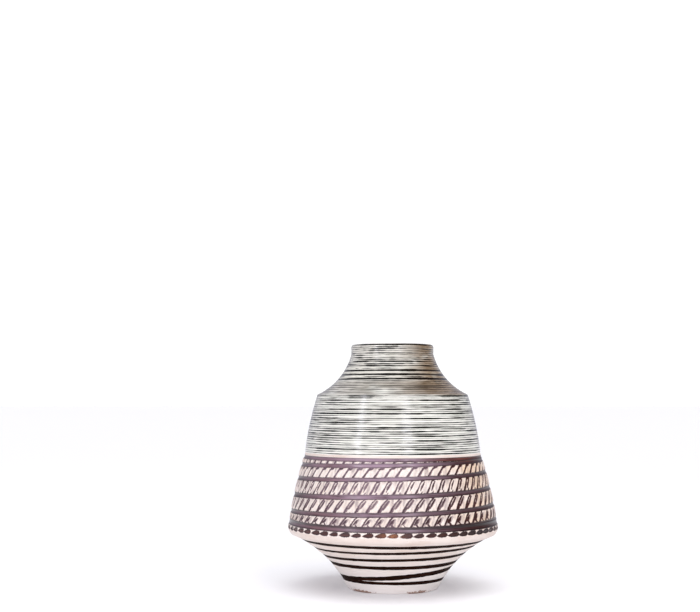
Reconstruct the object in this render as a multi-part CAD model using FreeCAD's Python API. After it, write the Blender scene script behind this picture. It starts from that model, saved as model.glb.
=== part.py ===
"""Stoneware vase: three thrown clay sections luted together, with their slip and glaze coats.

The vase stands on +Z, turned about the Z axis, with its origin at the centre of the foot.
A narrow foot flares through a hollow-curved cone to a sharp keel, low on the body. Above the keel
the carved belly leans in, then the glazed wall, and a second edge breaks into a flared neck.

Everything is round, so each piece is one face in the XZ plane (radius, height) turned a full circle.
The whole wall is drawn first as one section. Its skin, one coat thick, is shared out among the slip
and glaze pieces, and what remains is clay, parted into three sections by stepped luting seams.
"""

import FreeCAD
import Part
import os

# ---- driving dimensions, mm -------------------------------------------------------------------
HEIGHT = 250.0
WALL = 6.0  # thrown wall, square to the surface
FLOOR_HEIGHT = 9.0  # top of the clay floor
COAT = 0.5  # one coat of slip or glaze

# outline, each point (radius, height): an arc runs from one edge to the next through its middle
FOOT_EDGE = (46.2, 0.0)
CONE_MIDDLE = (71.6, 34.0)
CONE_TOP = (104.5, 55.7)
KEEL_MIDDLE = (107.3, 59.4)
KEEL_TOP = (108.0, 64.5)
BELLY_MIDDLE = (101.6, 98.5)
BELLY_TOP = (91.3, 137.0)
WALL_MIDDLE = (86.8, 165.0)
SHOULDER_EDGE = (78.2, 198.2)
FLARE_MIDDLE = (56.0, 215.0)
NECK_FOOT = (42.9, 240.0)

FOOT_BEVEL = 0.8
FOOT_RING_INNER = 37.5  # the ring that meets the table runs from here to the foot's edge
FOOT_RECESS = 2.5  # turned hollow inside the foot ring
RECESS_SLOPE = 3.0

LIP_RADIUS = WALL / 2  # the lip is a half round across the wall
LIP_MIDDLE = NECK_FOOT[0] - LIP_RADIUS
LIP_START = HEIGHT - LIP_RADIUS

# belly, each (bottom, top), from the keel up: a row of tool notches, then bands of glossy slip
# with carved rows between them
NOTCH_ROW = (61.8, 66.6)
SLIP_BANDS = [(66.6, 71.8), (81.3, 85.4), (97.9, 102.1), (114.7, 118.0), (127.8, 136.0)]

# cone, from the foot up: the turns of the slip line, each (middle height, width)
SLIP_LINES = [(11.2, 3.2), (18.0, 4.7), (27.8, 3.6), (36.3, 2.9), (44.2, 2.6), (50.9, 3.1)]

GLAZE_START = 138.8  # a plain line of pale clay shows between the belly and this height

# luting seams, each (height at the outside, radius of the step)
LOWER_SEAM = (63.5, 104.4)
UPPER_SEAM = (131.5, 89.4)
SEAM_STEP = 3.0  # the inner half of the lower piece stands this much higher
SLIP_THICKNESS = 0.6

MARGIN = 3 * WALL  # how far the drawing runs on behind the axis and above the mouth
REACH = 160.0  # larger than the vase in radius


# ---- drawing helpers --------------------------------------------------------------------------
def point(radius, height):
    """A point of the section, which lies in the XZ plane."""
    return FreeCAD.Vector(radius, 0, height)


def polygon(*corners):
    """A filled outline with straight sides."""
    ring = [point(*corner) for corner in corners]
    return Part.Face(Part.makePolygon(ring + ring[:1]))


def block(inner, outer, low, high):
    """The rectangle from radius inner to outer and from height low to high."""
    return polygon((inner, low), (outer, low), (outer, high), (inner, high))


def only_face(shape):
    """The one face that a cut has left, or an error where it left more."""
    if len(shape.Faces) != 1:
        raise ValueError(f"expected one face, got {len(shape.Faces)}")
    return shape.Faces[0]


def turned(section):
    """Turns a section a full circle about the Z axis and returns the solid."""
    solid = section.revolve(FreeCAD.Vector(0, 0, 0), FreeCAD.Vector(0, 0, 1), 360)
    if solid.Volume < 0:
        solid.reverse()
    if solid.ShapeType != "Solid" or not solid.isValid():
        raise ValueError("a turned section did not make a valid solid")
    return solid


# ---- the whole wall as one section ------------------------------------------------------------
def silhouette():
    """The outside shape, filled, running on behind the axis and straight up past the mouth."""
    bevel_low = (FOOT_EDGE[0] - FOOT_BEVEL, 0.0)
    bevel_high = (FOOT_EDGE[0] + FOOT_BEVEL / 2, FOOT_BEVEL)
    top = HEIGHT + MARGIN
    lines = [
        ((-MARGIN, 0.0), bevel_low),
        (bevel_low, bevel_high),
        (NECK_FOOT, (NECK_FOOT[0], top)),
        ((NECK_FOOT[0], top), (-MARGIN, top)),
        ((-MARGIN, top), (-MARGIN, 0.0)),
    ]
    arcs = [
        (bevel_high, CONE_MIDDLE, CONE_TOP),
        (CONE_TOP, KEEL_MIDDLE, KEEL_TOP),
        (KEEL_TOP, BELLY_MIDDLE, BELLY_TOP),
        (BELLY_TOP, WALL_MIDDLE, SHOULDER_EDGE),
        (SHOULDER_EDGE, FLARE_MIDDLE, NECK_FOOT),
    ]
    edges = [Part.makeLine(point(*start), point(*end)) for start, end in lines]
    edges += [Part.Arc(point(*a), point(*b), point(*c)).toShape() for a, b, c in arcs]
    return Part.Face(Part.Wire(Part.sortEdges(edges)[0]))


def foot_recess():
    """The turned hollow inside the foot ring, with a sloping side."""
    floor_edge = FOOT_RING_INNER - RECESS_SLOPE
    return polygon(
        (-REACH, -MARGIN),
        (FOOT_RING_INNER, -MARGIN),
        (FOOT_RING_INNER, 0.0),
        (floor_edge, FOOT_RECESS),
        (-REACH, FOOT_RECESS),
    )


def above_lip(inset):
    """Everything over the half-round lip, which is tangent to both faces of the neck."""
    centre = point(LIP_MIDDLE, LIP_START)
    circle = Part.Circle(centre, FreeCAD.Vector(0, 1, 0), LIP_RADIUS - inset)
    over = block(-REACH, REACH, LIP_START, HEIGHT + 2 * MARGIN)
    return over.cut(Part.Face(Part.Wire(circle.toShape())))


def wall_section(inset=0.0):
    """Returns the section of the whole wall, or of all that lies deeper in it than inset."""
    shape = silhouette()
    outside = shape.makeOffset2D(-inset) if inset else shape
    over_floor = block(-REACH, REACH, FLOOR_HEIGHT - inset, HEIGHT + 2 * MARGIN)
    space = shape.makeOffset2D(inset - WALL).common(over_floor)
    return only_face(outside.cut([space, foot_recess(), above_lip(inset)]))


# ---- pieces -----------------------------------------------------------------------------------
def coats(skin):
    """Shares the skin out among the slip and glaze pieces: a dictionary of name to section."""
    middle = silhouette().makeOffset2D(-WALL / 2)
    inner = skin.common(middle)
    outer = skin.cut(middle)

    def belt(low, high):
        return only_face(outer.common(block(FOOT_EDGE[0] - WALL, REACH, low, high)))

    pieces = {
        "liner_glaze": only_face(inner.common(block(0, REACH, FLOOR_HEIGHT - WALL / 2, HEIGHT))),
        "shoulder_glaze": only_face(outer.common(block(LIP_MIDDLE, REACH, GLAZE_START, HEIGHT))),
        "notch_row": belt(*NOTCH_ROW),
    }
    for number, (low, high) in enumerate(SLIP_BANDS, start=1):
        pieces[f"slip_band_{number}"] = belt(low, high)
    for number, (lower, upper) in enumerate(zip(SLIP_BANDS, SLIP_BANDS[1:]), start=1):
        pieces[f"carved_row_{number}"] = belt(lower[1], upper[0])
    for number, (middle_height, width) in enumerate(SLIP_LINES, start=1):
        pieces[f"slip_line_{number}"] = belt(middle_height - width / 2, middle_height + width / 2)
    return pieces


def below_seam(seam, lift=0.0):
    """Everything under a stepped seam, raised and widened by lift."""
    height, radius = seam
    return polygon(
        (-REACH, -MARGIN),
        (REACH, -MARGIN),
        (REACH, height + lift),
        (radius + lift, height + lift),
        (radius + lift, height + SEAM_STEP + lift),
        (-REACH, height + SEAM_STEP + lift),
    )


def clay_pieces(clay):
    """Parts the clay at the two seams into three thrown sections and two layers of luting slip."""
    under_lower = below_seam(LOWER_SEAM)
    over_lower = below_seam(LOWER_SEAM, SLIP_THICKNESS)
    under_upper = below_seam(UPPER_SEAM)
    over_upper = below_seam(UPPER_SEAM, SLIP_THICKNESS)
    return {
        "base_section": only_face(clay.common(under_lower)),
        "lower_luting_slip": only_face(clay.common(over_lower).cut(under_lower)),
        "belly_section": only_face(clay.common(under_upper).cut(over_lower)),
        "upper_luting_slip": only_face(clay.common(over_upper).cut(under_upper)),
        "shoulder_section": only_face(clay.cut(over_upper)),
    }


def main():
    """Builds every section, turns it and writes one STEP file for each piece."""
    wall = wall_section()
    right_half = block(0, REACH, 0, HEIGHT)
    skin = wall.cut(wall_section(COAT)).common(right_half)
    sections = coats(skin)
    sections.update(clay_pieces(wall.common(right_half).cut(list(sections.values()))))
    os.makedirs("parts", exist_ok=True)
    for name, section in sections.items():
        solid = turned(section)
        solid.exportStep(f"parts/{name}.step")
        box = solid.optimalBoundingBox()
        print(f"{name:18s} {solid.Volume / 1000:8.2f} cm3, radius {box.XMax:6.2f}, "
              f"height {box.ZMin:6.2f} to {box.ZMax:6.2f}")


main()
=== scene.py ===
"""Looks of a hand-thrown stoneware vase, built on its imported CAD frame.

The vase is made the way a potter decorates one. Three thrown clay sections carry a trailed line on the
cone, a row of tool notches at the keel, a glossy dark band that climbs the belly in one coil with
carved rows between its turns, and a streaked glaze over the shoulder and neck.

Angles are counted in turns from the front of the vase, which faces -Y, and grow towards +X. A coil
goes on past one turn, so its turn number also says how high it has climbed. Lengths are millimetres
until a piece gets its points, which are metres.
"""

from __future__ import annotations

import logging
import math
from collections.abc import Callable, Sequence
from dataclasses import dataclass, field
from enum import Enum
from functools import partial

import bpy
import numpy as np
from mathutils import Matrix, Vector


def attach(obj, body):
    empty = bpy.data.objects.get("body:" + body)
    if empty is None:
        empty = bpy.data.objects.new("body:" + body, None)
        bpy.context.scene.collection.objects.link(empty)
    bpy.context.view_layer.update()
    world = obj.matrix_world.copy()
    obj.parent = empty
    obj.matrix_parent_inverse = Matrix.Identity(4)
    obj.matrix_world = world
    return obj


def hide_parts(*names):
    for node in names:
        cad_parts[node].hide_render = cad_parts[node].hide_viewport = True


Array = np.ndarray
Piece = bpy.types.Object
Socket = bpy.types.NodeSocket
Point = tuple[float, float]
Triple = tuple[float, float, float]
Colour = Triple
Notes = dict[str, Array]  # numbers for a material to read, by name
Edges = Callable[[Array], tuple[Array, Array]]  # lower and upper edge at each turn
Relief = Callable[[Array, Array], tuple[Array, Notes]]  # lift and notes at each turn and height

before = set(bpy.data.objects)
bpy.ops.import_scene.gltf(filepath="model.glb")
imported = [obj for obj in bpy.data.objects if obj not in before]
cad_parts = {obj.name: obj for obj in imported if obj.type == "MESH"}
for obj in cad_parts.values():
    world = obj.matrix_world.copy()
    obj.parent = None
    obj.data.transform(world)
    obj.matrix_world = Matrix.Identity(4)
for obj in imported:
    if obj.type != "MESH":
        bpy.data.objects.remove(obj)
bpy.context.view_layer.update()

log = logging.getLogger("vase")

MM = 0.001
TURN = 2 * math.pi
BODY = "root"

HEIGHT = 250.0
WALL = 6.0
COAT = 0.5
FLOOR_HEIGHT = 9.0
LIP_RADIUS = WALL / 2  # the lip is a half round across the wall
COAT_END = HEIGHT - 3.2  # where the clay ends and the two glaze coats meet over the lip
KEEL_LINE = 60.9
LOWER_SEAM = (63.5, 64.3)  # each seam's slip, from its bottom to its top
UPPER_SEAM = (131.4, 132.0)
SLEEVE_DEPTH = 1.4  # how deep the carved skins reach into the wall
CLEARANCE = 0.05  # between the sleeves and the clay behind them
COLUMNS = 1216  # points round a carved ring
CARVED_STEP = 0.42  # height of a row of faces in the clay and the carving
OUTLINE_STEP = 0.1  # distance between the points of the outline
SAME_POINT = 1e-6  # points closer than this, in metres, become one
SHARP_EDGE = math.radians(50.0)
FAR_OFF = 9.0  # further than any place is from a cut or a line
ON_OUTLINE = 0.05  # points nearer to the outline than this are on the outside


# ---- shapes ------------------------------------------------------------------------------------
class Arcs(Enum):
    """The outline's arcs from the foot up, each through three points (radius, height)."""

    CONE = ((46.6, 0.8), (71.6, 34.0), (104.5, 55.7))
    KEEL = ((104.5, 55.7), (107.3, 59.4), (108.0, 64.5))
    BELLY = ((108.0, 64.5), (101.6, 98.5), (91.3, 137.0))
    WALL = ((91.3, 137.0), (86.8, 165.0), (78.2, 198.2))
    FLARE = ((78.2, 198.2), (56.0, 215.0), (42.9, 240.0))


def arc(start: Point, middle: Point, end: Point) -> Array:
    """Walks along the circle through three points.

    Args:
        start: first point, as radius and height.
        middle: a point on the way.
        end: last point.

    Returns:
        The points, one row each, OUTLINE_STEP apart.
    """
    (ax, ay), (bx, by), (cx, cy) = start, middle, end
    d = 2 * (ax * (by - cy) + bx * (cy - ay) + cx * (ay - by))
    a2, b2, c2 = ax * ax + ay * ay, bx * bx + by * by, cx * cx + cy * cy
    centre = np.array(
        [
            (a2 * (by - cy) + b2 * (cy - ay) + c2 * (ay - by)) / d,
            (a2 * (cx - bx) + b2 * (ax - cx) + c2 * (bx - ax)) / d,
        ]
    )
    from_centre = [np.array(p) - centre for p in (start, middle, end)]
    angles = np.unwrap([math.atan2(v[1], v[0]) for v in from_centre])
    radius = float(np.hypot(*from_centre[0]))
    count = max(3, round(abs(angles[2] - angles[0]) * radius / OUTLINE_STEP))
    swept = np.linspace(angles[0], angles[2], count + 1)
    return centre + radius * np.stack([np.cos(swept), np.sin(swept)], axis=1)


@dataclass
class Outline:
    """The outside of the vase as a dense line from the foot to the start of the lip."""

    foot_radius: float = 45.4
    neck_radius: float = 42.9
    lip_start: float = HEIGHT - LIP_RADIUS
    line: Array = field(init=False)
    across: Array = field(init=False)
    up: Array = field(init=False)

    def __post_init__(self) -> None:
        """Traces the line and the direction that faces away from the clay at each point."""
        parts = [np.array([[self.foot_radius, 0.0]])]
        parts += [arc(*piece.value)[1:] if i else arc(*piece.value) for i, piece in enumerate(Arcs)]
        neck_foot = Arcs.FLARE.value[-1][1]
        rise = np.arange(neck_foot + OUTLINE_STEP, self.lip_start + OUTLINE_STEP / 2, OUTLINE_STEP)
        parts.append(np.stack([np.full_like(rise, self.neck_radius), rise], axis=1))
        self.line = np.concatenate(parts)
        run = np.gradient(self.line, axis=0)
        run /= np.linalg.norm(run, axis=1)[:, None]
        self.across, self.up = run[:, 1], -run[:, 0]

    def radius(self, height: Array) -> Array:
        """Radius of the outside at each height."""
        return np.interp(height, self.line[:, 1], self.line[:, 0])

    def facing(self, height: Array) -> tuple[Array, Array]:
        """Outward direction at each height, as its parts across and up."""
        at = self.line[:, 1]
        return np.interp(height, at, self.across), np.interp(height, at, self.up)

    def raised(self, radius: Array, turn: Array, height: Array, lift: Array) -> Array:
        """Moves places outwards, square to the outline.

        Args:
            radius: their distances from the axis.
            turn: their turns from the front.
            height: their heights.
            lift: how far each one moves.

        Returns:
            The moved places, one row each.
        """
        out, up = self.facing(height)
        return stand_round(radius + out * lift, turn, height + up * lift)

    def behind(self, heights: Array, depth: float) -> list[Point]:
        """Section points that lie a given depth inside the wall, in the order of the heights."""
        return list(zip(self.inset(heights, depth), heights))

    def inset(self, height: Array, depth: float) -> Array:
        """Radius of the surface that lies a given depth inside the wall.

        Args:
            height: heights at which it is wanted.
            depth: distance from the outside, square to it.

        Returns:
            One radius for each height.
        """
        high = np.atleast_1d(height)[:, None]
        rise = high - self.line[None, ::4, 1]
        reach = np.sqrt(np.clip(depth**2 - rise**2, 0, None))
        near = np.where(np.abs(rise) <= depth, self.line[None, ::4, 0] - reach, np.inf)
        return near.min(axis=1)


OUTLINE = Outline()


def lip(start: float, end: float) -> list[Point]:
    """Section points of the half round lip between two angles, counted from the outside."""
    angle = np.linspace(start, end, 9)
    middle = OUTLINE.neck_radius - LIP_RADIUS
    height = HEIGHT - LIP_RADIUS + LIP_RADIUS * np.sin(angle)
    return list(zip(middle + LIP_RADIUS * np.cos(angle), height))


def glide(knots: Sequence[Point], at: Array) -> Array:
    """Smooth curve through knots, held level past both ends.

    Args:
        knots: pairs of place and value, in order of place.
        at: places where the value is wanted.

    Returns:
        One value for each place.
    """
    x, y = np.array(knots, float).T
    slope = np.gradient(y, x)
    at = np.clip(at, x[0], x[-1])
    i = np.clip(np.searchsorted(x, at) - 1, 0, len(x) - 2)
    span = x[i + 1] - x[i]
    s = (at - x[i]) / span
    rise = y[i + 1] - y[i]
    bend_in = slope[i] * span - rise
    bend_out = rise - slope[i + 1] * span
    return y[i] + s * rise + s * (1 - s) * ((1 - s) * bend_in + s * bend_out)


def step_between(low: float, high: float, value: Array) -> Array:
    """Goes smoothly from 0 at low to 1 at high."""
    s = np.clip((value - low) / (high - low), 0, 1)
    return s * s * (3 - 2 * s)


@dataclass(frozen=True)
class Unevenness:
    """Smooth seeded noise over turns and heights, which closes on itself after whole turns."""

    seed: int
    per_turn: int
    per_mm: float

    def at(self, turn: Array, height: Array) -> Array:
        """Noise from -1 to 1.

        Args:
            turn: places round the vase, in turns.
            height: heights in millimetres.

        Returns:
            One value for each place.
        """
        tall = 512  # values in a column of the table, more than the vase uses
        table = np.random.default_rng(self.seed).uniform(-1, 1, (self.per_turn, tall))
        x, y = (turn % 1.0) * self.per_turn, height * self.per_mm + 16
        xi, yi = np.floor(x).astype(int), np.floor(y).astype(int)
        xf, yf = step_between(0, 1, x - xi), step_between(0, 1, y - yi)
        left, right = xi % self.per_turn, (xi + 1) % self.per_turn
        low, high = yi % tall, (yi + 1) % tall
        under = table[left, low] * (1 - xf) + table[right, low] * xf
        over = table[left, high] * (1 - xf) + table[right, high] * xf
        return under * (1 - yf) + over * yf


# ---- making pieces -----------------------------------------------------------------------------
def set_down() -> None:
    """Leaves edit mode and lets go of everything that is selected."""
    if bpy.context.mode != "OBJECT":
        bpy.ops.object.mode_set(mode="OBJECT")
    bpy.ops.object.select_all(action="DESELECT")


def read_points(piece: Piece) -> Array:
    """The piece's points, in millimetres, one row each."""
    points = np.empty(len(piece.data.vertices) * 3, np.float32)
    piece.data.vertices.foreach_get("co", points)
    return points.reshape(-1, 3).astype(float) / MM


def write_points(piece: Piece, points: Array) -> None:
    """Moves every point of the piece to a place given in millimetres."""
    piece.data.vertices.foreach_set("co", (points * MM).astype(np.float32).ravel())
    piece.data.update()


def polar(piece: Piece) -> tuple[Array, Array, Array]:
    """Radius, turn from the front and height of each of the piece's points."""
    points = read_points(piece)
    turn = np.arctan2(points[:, 0], -points[:, 1]) / TURN
    return np.hypot(points[:, 0], points[:, 1]), turn, points[:, 2]


def add_notes(piece: Piece, notes: Notes) -> None:
    """Stores numbers on the points of the piece, for its material to read."""
    for name, values in notes.items():
        layer = piece.data.attributes.new(name, "FLOAT", "POINT")
        layer.data.foreach_set("value", values.astype(np.float32))


def stand_round(radius: Array, turn: Array, height: Array) -> Array:
    """Points at a radius, a turn from the front and a height."""
    angle = turn * TURN
    return np.stack([radius * np.sin(angle), -radius * np.cos(angle), height], axis=1)


def close_up(piece: Piece, has_hole: bool = False) -> None:
    """Joins the edges of a piece in edit mode, faces it outwards and shades it smooth.

    Args:
        piece: the piece.
        has_hole: whether it still has an open end that needs a face.
    """
    bpy.ops.mesh.select_all(action="SELECT")
    bpy.ops.mesh.remove_doubles(threshold=SAME_POINT)
    if has_hole:
        bpy.ops.mesh.fill_holes(sides=0)
    bpy.ops.mesh.normals_make_consistent(inside=False)
    set_down()
    piece.select_set(True)
    bpy.context.view_layer.objects.active = piece
    bpy.ops.object.shade_smooth_by_angle(angle=SHARP_EDGE)


@dataclass
class Skin:
    """A slab of slip, glaze or clay that is rolled round the vase and pressed onto its outside."""

    name: str
    start: float
    end: float
    edges: Edges
    relief: Relief
    rows: int
    columns: int = COLUMNS
    depth: float = SLEEVE_DEPTH
    back_rows: int = 3

    def roll(self) -> Piece:
        """Makes the closed piece.

        Returns:
            The piece, at rest, with the notes that its relief gives.
        """
        set_down()
        front, back = np.linspace(0, 1, self.rows + 1), np.linspace(1, 0, self.back_rows)
        share = np.concatenate([front, back, [0.0]])
        deep = np.concatenate([np.zeros(self.rows + 1), np.ones(self.back_rows), [0.0]])
        rows = len(share) - 1
        bpy.ops.mesh.primitive_grid_add(x_subdivisions=self.columns, y_subdivisions=rows, size=1.0)
        piece = bpy.context.object
        piece.name = piece.data.name = self.name
        flat = read_points(piece) * MM + 0.5
        across = np.rint(flat[:, 0] * self.columns) / self.columns
        row = np.rint(flat[:, 1] * rows).astype(int)
        turn = self.start + (self.end - self.start) * across
        low, high = self.edges(turn)
        height = low + (high - low) * share[row]
        lift, notes = self.relief(turn, height)
        lift = np.where(deep[row] > 0, -self.depth, lift)
        write_points(piece, OUTLINE.raised(OUTLINE.radius(height), turn, height, lift))
        add_notes(piece, notes)
        bpy.ops.object.mode_set(mode="EDIT")
        close_up(piece, has_hole=True)
        return piece


def turn_on_wheel(name: str, section: Sequence[Point], steps: int = 192) -> Piece:
    """Draws a section point by point and spins it round the axis.

    Args:
        name: the piece's name.
        section: points as radius and height, in order, first and last on the axis or meeting.
        steps: number of faces round the piece.

    Returns:
        The closed piece.
    """
    set_down()
    places = [Vector((0.0, -radius * MM, height * MM)) for radius, height in section]
    bpy.ops.mesh.primitive_plane_add(size=MM, location=places[0])
    piece = bpy.context.object
    piece.name = piece.data.name = name
    bpy.ops.object.transform_apply(location=True)
    bpy.ops.object.mode_set(mode="EDIT")
    bpy.ops.mesh.select_all(action="SELECT")
    bpy.ops.mesh.merge(type="CENTER")
    for here, there in zip(places, places[1:]):
        bpy.ops.mesh.extrude_region_move(TRANSFORM_OT_translate={"value": there - here})
    bpy.ops.mesh.select_all(action="SELECT")
    bpy.ops.mesh.spin(steps=steps, angle=TURN, center=(0, 0, 0), axis=(0, 0, 1))
    close_up(piece)
    return piece


def hand_over(piece: Piece, finish: Finish, slot: str, *nodes: str) -> Piece:
    """Dresses a piece and enters it in the frame.

    Args:
        piece: the finished shape.
        finish: what covers it.
        slot: not used.
        nodes: the CAD nodes that it stands for.

    Returns:
        The same piece.
    """
    piece.data.materials.clear()
    piece.data.materials.append(finish.material())
    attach(piece, BODY)
    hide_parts(*nodes)
    log.info("%s: %d points, stands for %s", piece.name, len(piece.data.vertices), ", ".join(nodes))
    return piece


# ---- shader bench ------------------------------------------------------------------------------
class Signal:
    """A number that changes over a surface, as the socket that carries it."""

    def __init__(self, bench: Bench, socket: Socket) -> None:
        """Keeps the socket and the bench that its nodes are added to."""
        self.bench = bench
        self.socket = socket

    def __add__(self, other: Signal | float) -> Signal:
        """Sum."""
        return self.bench.maths("ADD", self, other)

    def __radd__(self, other: float) -> Signal:
        """Sum with a number in front."""
        return self.bench.maths("ADD", other, self)

    def __sub__(self, other: Signal | float) -> Signal:
        """Difference."""
        return self.bench.maths("SUBTRACT", self, other)

    def __rsub__(self, other: float) -> Signal:
        """Difference from a number."""
        return self.bench.maths("SUBTRACT", other, self)

    def __mul__(self, other: Signal | float) -> Signal:
        """Product."""
        return self.bench.maths("MULTIPLY", self, other)


class Bench:
    """Lays out the nodes of one material or of the surroundings."""

    def __init__(self, tree: bpy.types.NodeTree) -> None:
        """Clears the tree that the nodes go into."""
        self.tree = tree
        self.tree.nodes.clear()

    def node(self, kind: str, settings: dict, inputs: dict) -> bpy.types.Node:
        """Adds a node.

        Args:
            kind: the node's type.
            settings: its own properties.
            inputs: values or links of its sockets, by name or number.

        Returns:
            The node.
        """
        made = self.tree.nodes.new(kind)
        for name, value in settings.items():
            setattr(made, name, value)
        for name, value in inputs.items():
            socket = made.inputs[name]
            if isinstance(value, Signal):
                self.tree.links.new(value.socket, socket)
            elif isinstance(value, Socket):
                self.tree.links.new(value, socket)
            else:
                socket.default_value = value
        return made

    def maths(self, operation: str, *values: Signal | float) -> Signal:
        """Result of a Math node."""
        made = self.node("ShaderNodeMath", {"operation": operation}, dict(enumerate(values)))
        return Signal(self, made.outputs[0])

    def note(self, name: str) -> Signal:
        """A number stored on the piece's points."""
        made = self.node("ShaderNodeAttribute", {"attribute_name": name}, {})
        return Signal(self, made.outputs["Fac"])

    def place(self, scale: Triple = (1, 1, 1), moved: Triple = (0, 0, 0)) -> Socket:
        """Place on the piece in millimetres, stretched by scale and then moved."""
        here = self.node("ShaderNodeTexCoord", {}, {}).outputs["Object"]
        size = [s / MM for s in scale]
        inputs = {"Vector": here, "Scale": size, "Location": moved}
        return self.node("ShaderNodeMapping", {}, inputs).outputs[0]

    def height(self) -> Signal:
        """Height above the table in millimetres."""
        apart = self.node("ShaderNodeSeparateXYZ", {}, {0: self.place()})
        return Signal(self, apart.outputs["Z"])

    def noise(self, scale: Triple, detail: float, rough: float, moved: Triple = (0, 0, 0)) -> Signal:
        """Cloudy noise around 0.5.

        Args:
            scale: number of features in a millimetre, along each axis.
            detail: how many times finer noise is laid over it.
            rough: how strong the finer noise is.
            moved: where in the noise the piece stands.

        Returns:
            The noise.
        """
        inputs = {"Vector": self.place(scale, moved), "Scale": 1.0, "Detail": detail, "Roughness": rough}
        return Signal(self, self.node("ShaderNodeTexNoise", {}, inputs).outputs["Fac"])

    def rise(self, value: Signal, low: float, high: float) -> Signal:
        """Goes smoothly from 0 where value is low to 1 where it is high."""
        settings = {"interpolation_type": "SMOOTHSTEP"}
        inputs = {"Value": value, "From Min": low, "From Max": high}
        return Signal(self, self.node("ShaderNodeMapRange", settings, inputs).outputs["Result"])

    def tint(self, share: Signal | float, under: object, over: object) -> Socket:
        """Colour under, covered with colour over by share."""
        inputs = {0: share, 6: self.solid(under), 7: self.solid(over)}
        return self.node("ShaderNodeMix", {"data_type": "RGBA"}, inputs).outputs[2]

    @staticmethod
    def solid(colour: object) -> object:
        """A colour as a socket takes it: a socket stays, and three numbers get their alpha."""
        return (*colour, 1.0) if isinstance(colour, tuple) else colour

    def bump(self, height: Signal, strength: float, distance: float) -> Socket:
        """Normal of a surface that is raised by height times distance, in millimetres."""
        inputs = {"Height": height, "Strength": strength, "Distance": distance * MM}
        return self.node("ShaderNodeBump", {}, inputs).outputs["Normal"]

    def cover(self, inputs: dict) -> None:
        """Ends the material with one surface shader."""
        shader = self.node("ShaderNodeBsdfPrincipled", {}, inputs)
        self.node("ShaderNodeOutputMaterial", {}, {"Surface": shader.outputs[0]})


# ---- finishes ----------------------------------------------------------------------------------
@dataclass(frozen=True)
class Finish:
    """What covers a piece. Each kind of finish makes its own material, once."""

    name: str

    def material(self) -> bpy.types.Material:
        """The finish's material, made on first use."""
        made = bpy.data.materials.get(self.name)
        if made is None:
            made = bpy.data.materials.new(self.name)
            made.use_nodes = True
            self.mix(Bench(made.node_tree))
        return made

    def mix(self, bench: Bench) -> None:
        """Lays out the material's nodes."""
        raise NotImplementedError


@dataclass(frozen=True)
class BareClay(Finish):
    """Pale fired stoneware with fine turning marks, iron specks and scorched patches, painted lighter
    towards the foot.
    """

    name: str = "thrown_clay"
    pale: Colour = (0.80, 0.70, 0.64)
    pink: Colour = (0.72, 0.59, 0.52)
    chalk: Colour = (0.90, 0.86, 0.83)
    speck: Colour = (0.28, 0.17, 0.11)
    scorch: Colour = (0.23, 0.085, 0.03)

    def mix(self, bench: Bench) -> None:
        """Lays out the material's nodes."""
        cloud = bench.noise((0.03, 0.03, 0.06), 4.0, 0.6)
        rings = bench.noise((0.012, 0.012, 1.1), 3.0, 0.65)
        grain = bench.noise((1.6, 1.6, 1.6), 3.0, 0.7, (7, 3, 5))
        specks = bench.noise((0.9, 0.9, 0.9), 1.0, 0.4, (1, 9, 4))
        colour = bench.tint(bench.rise(cloud, 0.35, 0.7), self.pale, self.pink)
        colour = bench.tint(bench.rise(rings, 0.5, 0.78) * 0.6, colour, self.chalk)
        colour = bench.tint(bench.rise(grain, 0.55, 0.8) * 0.3, colour, self.pink)
        colour = bench.tint(bench.rise(specks, 0.73, 0.78) * 0.6, colour, self.speck)
        # Painted light: the clay is mixed towards chalk low on the cone, most at the foot, as if lit
        # from low down.
        colour = bench.tint(0.8 - bench.rise(bench.height(), 2.0, 56.0) * 0.8, colour, self.chalk)
        blot = bench.noise((0.3, 0.3, 0.5), 4.0, 0.65, (2, 6, 1))
        stain = bench.note("stain") + (blot - 0.5) * 2.6 + (grain - 0.5) * 0.8
        colour = bench.tint(bench.rise(stain, 0.5, 0.8) * 0.85, colour, self.scorch)
        relief = rings * 0.7 + grain * 0.3
        bench.cover({
            "Base Color": colour,
            "Roughness": 0.42 + grain * 0.2,
            "Normal": bench.bump(relief, 0.55, 0.25),
            "Coat Weight": 0.12,
            "Coat Roughness": 0.3,
        })


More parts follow.
